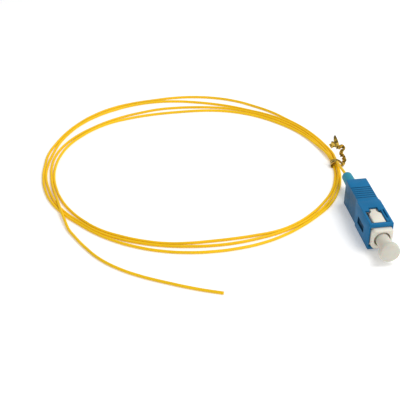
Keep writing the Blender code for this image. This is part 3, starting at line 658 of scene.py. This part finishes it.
class PIGTAIL_OT_stage(Operator):
    """Adds the floor, the lights and the camera"""

    bl_idname = "pigtail.stage"
    bl_label = "Stage"

    def execute(self, context):
        settings = context.scene.pigtail_stage
        self.add_camera(context.scene, settings.lens)
        self.add_floor(context.scene, settings)
        self.add_light(context.scene, "key", KEY_LIGHT_PLACE, KEY_LIGHT_SIZE, settings.key_power)
        self.add_light(context.scene, "front", FRONT_LIGHT_PLACE, FRONT_LIGHT_SIZE, settings.front_power)
        self.add_sky(context.scene, settings.sky_strength)
        return {"FINISHED"}

    def add_camera(self, scene, lens):
        data = bpy.data.cameras.new("camera")
        data.lens = lens
        data.sensor_width = SENSOR_WIDTH
        data.clip_start = 0.01
        data.clip_end = 20.0
        camera = bpy.data.objects.new("camera", data)
        camera.location = CAMERA_PLACE
        camera.rotation_euler = facing(CAMERA_PLACE, CAMERA_AIM)
        scene.collection.objects.link(camera)
        scene.camera = camera

    def add_floor(self, scene, settings):
        bm = bmesh.new()
        bmesh.ops.create_grid(bm, x_segments=1, y_segments=1, size=settings.floor_size / 2)
        mesh = bpy.data.meshes.new("floor")
        bm.to_mesh(mesh)
        bm.free()
        material, tree, shader = new_material("floor_white")
        noise = object_noise(tree, scale=3.0)
        tinted(tree, shader, noise, shaded(settings.floor_colour, 0.99), settings.floor_colour)
        shader.inputs["Roughness"].default_value = 0.7
        shader.inputs["Specular IOR Level"].default_value = 0.2
        shader.inputs["Emission Color"].default_value = (*WHITE, 1.0)
        shader.inputs["Emission Strength"].default_value = settings.floor_glow
        mesh.materials.append(material)
        floor = bpy.data.objects.new("floor", mesh)
        scene.collection.objects.link(floor)

    def add_light(self, scene, name, place, size, power):
        data = bpy.data.lights.new(name, "AREA")
        data.shape = "DISK"
        data.size = size
        data.energy = power
        light = bpy.data.objects.new(name, data)
        light.location = place
        light.rotation_euler = facing(place, LIGHT_AIM)
        scene.collection.objects.link(light)

    def add_sky(self, scene, strength):
        sky = bpy.data.worlds.new("sky")
        sky.use_nodes = True
        backdrop = sky.node_tree.nodes["Background"]
        backdrop.inputs["Color"].default_value = (*WHITE, 1.0)
        backdrop.inputs["Strength"].default_value = strength
        scene.world = sky
        scene.view_settings.view_transform = "Standard"


# Pieces


class PIGTAIL_OT_fibre(Operator):
    """Adds the buffered fibre as one cord, from the boot round the coil to its bare end"""

    bl_idname = "pigtail.fibre"
    bl_label = "Fibre"

    def execute(self, context):
        settings = context.scene.pigtail_fibre
        start = (0.0, BOOT_TIP - settings.start_inside, AXIS_HEIGHT)
        route = (start, *LEAD_ROUTE, *coil_route(settings.diameter / 2), *TAIL_ROUTE)
        curve = bpy.data.curves.new("fibre", "CURVE")
        curve.dimensions = "3D"
        curve.bevel_depth = settings.diameter / 2
        curve.bevel_resolution = 4
        curve.resolution_u = 8
        curve.use_fill_caps = True
        spline = curve.splines.new("BEZIER")
        spline.bezier_points.add(len(route) - 1)
        for knot, point in zip(spline.bezier_points, route):
            knot.co = point
            knot.handle_left_type = "AUTO"
            knot.handle_right_type = "AUTO"
        yellow = self.buffer_material(settings, route[-1])
        replaced = ("fibre_lead", "fibre_coil", "fibre_tail")
        piece = add_piece("fibre", curve, yellow, "plug", "fibre_yellow", *replaced)
        return {"FINISHED"}

    def buffer_material(self, settings, end):
        """The yellow buffer, with the glass showing at the end of the route."""
        material, tree, shader = new_material("fibre_yellow")
        dark = shaded(settings.colour, 0.95)
        light = shaded(settings.colour, 1.05)
        tinted(tree, shader, object_noise(tree, scale=90.0), dark, light)
        roughened(tree, shader, object_noise(tree, scale=700.0), low=0.3, high=0.42)
        shader.inputs["Specular IOR Level"].default_value = 0.15
        self.add_core(tree, shader, settings.core_diameter / 2, end)
        return material

    def add_core(self, tree, shader, radius, end):
        """Shows the glass in the middle of the cut end."""
        reach = tree.nodes.new("ShaderNodeVectorMath")
        reach.operation = "DISTANCE"
        reach.inputs[1].default_value = end
        tree.links.new(object_place(tree), reach.inputs[0])
        blended(tree, shader, calculated(tree, "LESS_THAN", reach.outputs["Value"], radius), GLASS)


class PIGTAIL_OT_tie(Operator):
    """Adds the ribbon tie: the band round the coil, the twisted ends and their flattened tips"""

    bl_idname = "pigtail.tie"
    bl_label = "Ribbon Tie"

    def execute(self, context):
        settings = context.scene.pigtail_tie
        gold = self.gold_with_painted_crease_shade(settings.colour)
        bm = bmesh.new()
        self.add_band(bm, settings)
        self.add_twist(bm, settings)
        self.add_flag(bm, settings)
        mesh = mesh_from(bm, "tie", smooth_angle=50.0)
        add_piece("tie", mesh, gold, "plug", "tie_brass", "twist_tie")
        return {"FINISHED"}

    def gold_with_painted_crease_shade(self, colour):
        """Metallised ribbon with painted crease shade as dark mottling, darker towards the tip of its
        flattened end.
        """
        material, tree, shader = new_material("tie_gold")
        # Painted shade: dark mottling stands in for the shade in the ribbon's creases
        painted_crease_shade = object_noise(tree, scale=1500.0, detail=3.0)
        tinted(tree, shader, painted_crease_shade, shaded(colour, 0.18), colour, start=0.42, end=0.56)
        rise = tree.nodes.new("ShaderNodeMapRange")
        rise.inputs["From Min"].default_value = TIE_DARK_SPAN[0]
        rise.inputs["From Max"].default_value = TIE_DARK_SPAN[1]
        rise.inputs["To Max"].default_value = 0.85
        tree.links.new(object_axes(tree)["Z"], rise.inputs["Value"])
        blended(tree, shader, rise.outputs["Result"], shaded(colour, 0.1))
        roughened(tree, shader, object_noise(tree, scale=2500.0), low=0.3, high=0.5)
        shader.inputs["Metallic"].default_value = 0.8
        return material

    def add_band(self, bm, settings):
        sections = resampled(TIE_BAND, TIE_BAND_SECTIONS, closed=True)
        add_strip(bm, sections, settings.ribbon_thickness, closed=True)

    def add_twist(self, bm, settings):
        """Adds two ribbons that wind round the stem's route at right angles to each other."""
        route = resampled(TIE_STEM, TIE_STEM_SECTIONS, closed=False)
        for turn in (0.0, math.pi / 2):
            run = 0.0
            last = route[0][0]
            sections = []
            for index, (point, width, side) in enumerate(route):
                run += (point - last).length
                last = point
                ahead = route[min(index + 1, len(route) - 1)][0] - route[max(index - 1, 0)][0]
                spin = Matrix.Rotation(math.tau * run / settings.twist_pitch + turn, 3, ahead)
                sections.append((point, width, spin @ side))
            add_strip(bm, sections, settings.ribbon_thickness)

    def add_flag(self, bm, settings):
        """Adds the flattened ends, each a leaf as thick as the ribbon."""
        for outline, y, lean in TIE_LEAVES:
            foot = outline[0][1]
            leaf = bm.faces.new([bm.verts.new((x, y + lean * (z - foot), z)) for x, z in outline])
            made = bmesh.ops.extrude_face_region(bm, geom=[leaf])["geom"]
            moved = [item for item in made if isinstance(item, bmesh.types.BMVert)]
            bmesh.ops.translate(bm, verts=moved, vec=(0.0, settings.ribbon_thickness, 0.0))


class PIGTAIL_OT_plug(Operator):
    """Adds the push-pull grip and the inner frame with soft moulded edges"""

    bl_idname = "pigtail.plug"
    bl_label = "Grip and Frame"

    def execute(self, context):
        settings = context.scene.pigtail_plug
        blue = moulded_plastic("grip_blue", settings.grip_colour, roughness=0.4, gloss=0.1)
        # Painted shade in the grip's side recesses, grooves and rear side scoops
        paint_shade(blue, GRIP_PAINTED_SHADES)
        grip = softened_mesh("grip_housing", "grip", settings.edge_width)
        add_piece("grip", grip, blue, "grip", "grip_blue", "grip_housing")
        cream = moulded_plastic("frame_cream", settings.frame_colour, roughness=0.45)
        let_light_in(cream, weight=0.15, distance=0.0006)
        inner = softened_mesh("plug_frame", "frame", settings.edge_width)
        add_piece("frame", inner, cream, "plug", "frame_cream", "plug_frame")
        return {"FINISHED"}


class PIGTAIL_OT_boot(Operator):
    """Adds the boot over the fibre"""

    bl_idname = "pigtail.boot"
    bl_label = "Boot"

    def execute(self, context):
        settings = context.scene.pigtail_boot
        tip = settings.tip_diameter / 2
        bore = settings.bore / 2
        socket = settings.socket_diameter / 2
        socket_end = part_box("stop_ring")[1].y + settings.clearance
        flange = settings.base_diameter / 2
        flange_end = BOOT_FRONT + settings.base_length
        rounding = settings.tip_radius
        profile = [
            (bore, BOOT_TIP),
            *arc(tip - rounding, BOOT_TIP - rounding, rounding, 90.0, 0.0, steps=8),
            (settings.neck_diameter / 2, flange_end),
            (flange, flange_end - settings.flange_ease),
            (flange, BOOT_FRONT),
            (socket, BOOT_FRONT),
            (socket, socket_end),
            (bore, socket_end),
        ]
        teal = moulded_plastic("boot_teal", settings.colour, roughness=0.5, gloss=0.2)
        mesh = turned_mesh("boot_sleeve", profile, steps=64)
        add_piece("boot_sleeve", mesh, teal, "plug", "boot_teal", "boot")
        return {"FINISHED"}


class PIGTAIL_OT_cap(Operator):
    """Adds the frosted dust cap"""

    bl_idname = "pigtail.cap"
    bl_label = "Dust Cap"

    def execute(self, context):
        settings = context.scene.pigtail_cap
        socket = settings.socket_diameter / 2
        socket_end = FERRULE_TIP - settings.clearance
        stem = settings.stem_diameter / 2
        head_rear = CAP_FRONT + settings.head_thickness
        rounding = settings.edge_radius
        rim = settings.head_diameter / 2 - rounding
        profile = [
            (0.0, socket_end),
            (socket, socket_end),
            (socket, CAP_REAR),
            (stem, CAP_REAR),
            (stem, head_rear),
            *arc(rim, head_rear - rounding, rounding, 90.0, 0.0, steps=6),
            *arc(rim, CAP_FRONT + rounding, rounding, 0.0, -90.0, steps=6),
            (0.0, CAP_FRONT),
        ]
        frosted = moulded_plastic("cap_frosted", settings.colour, roughness=0.5, gloss=0.4, grain=3500.0)
        let_light_in(frosted, weight=0.4, distance=0.001)
        mesh = turned_mesh("cap", profile, steps=64)
        add_piece("cap", mesh, frosted, "cap", "cap_frosted", "dust_cap")
        return {"FINISHED"}


class PIGTAIL_OT_inner(Operator):
    """Finishes the ferrule, its holder, the spring and the stop ring"""

    bl_idname = "pigtail.inner"
    bl_label = "Inner Parts"

    def execute(self, context):
        ceramic = moulded_plastic("ferrule_ceramic", CERAMIC, roughness=0.15)
        nickel = plated_metal("holder_nickel", NICKEL, roughness=0.25)
        steel = plated_metal("spring_steel", STEEL, roughness=0.28)
        for node, material in (("ferrule", ceramic), ("ferrule_holder", nickel), ("stop_ring", nickel)):
            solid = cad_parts[node]
            solid.data.materials.clear()
            solid.data.materials.append(material)
        self.add_spring(steel)
        return {"FINISHED"}

    def add_spring(self, steel):
        """Adds the spring as a smooth copy of its solid's mesh."""
        mesh = mesh_from(merged_copy("spring"), "spring_wire", smooth_angle=60.0)
        wire = add_piece("spring_wire", mesh, steel, "plug", "spring_steel", "spring")
        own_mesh(wire)


class PIGTAIL_PT_sidebar(Panel):
    """Lists the pigtail's pieces and their settings"""

    bl_label = "Fibre Optic Pigtail"
    bl_idname = "PIGTAIL_PT_sidebar"
    bl_space_type = "VIEW_3D"
    bl_region_type = "UI"
    bl_category = "Pigtail"

    def draw(self, context):
        for operator, group in STEPS:
            box = self.layout.box()
            box.operator(operator.bl_idname)
            if group:
                settings = getattr(context.scene, group)
                for name in settings.bl_rna.properties.keys():
                    if name not in {"rna_type", "name"}:
                        box.prop(settings, name)


STEPS = (
    (PIGTAIL_OT_stage, "pigtail_stage"),
    (PIGTAIL_OT_tie, "pigtail_tie"),
    (PIGTAIL_OT_fibre, "pigtail_fibre"),
    (PIGTAIL_OT_plug, "pigtail_plug"),
    (PIGTAIL_OT_boot, "pigtail_boot"),
    (PIGTAIL_OT_cap, "pigtail_cap"),
    (PIGTAIL_OT_inner, None),
)
GROUPS = {
    "pigtail_stage": StageSettings,
    "pigtail_fibre": FibreSettings,
    "pigtail_plug": PlugSettings,
    "pigtail_boot": BootSettings,
    "pigtail_cap": CapSettings,
    "pigtail_tie": TieSettings,
}


def register():
    for name, group in GROUPS.items():
        bpy.utils.register_class(group)
        setattr(bpy.types.Scene, name, PointerProperty(type=group))
    for operator, group in STEPS:
        bpy.utils.register_class(operator)
    bpy.utils.register_class(PIGTAIL_PT_sidebar)


def unregister():
    bpy.utils.unregister_class(PIGTAIL_PT_sidebar)
    for operator, group in reversed(STEPS):
        bpy.utils.unregister_class(operator)
    for name, group in GROUPS.items():
        delattr(bpy.types.Scene, name)
        bpy.utils.unregister_class(group)


def main():
    register()
    bpy.ops.pigtail.stage()
    bpy.ops.pigtail.tie()
    bpy.ops.pigtail.fibre()
    bpy.ops.pigtail.plug()
    bpy.ops.pigtail.boot()
    bpy.ops.pigtail.cap()
    bpy.ops.pigtail.inner()


if __name__ == "__main__":
    main()
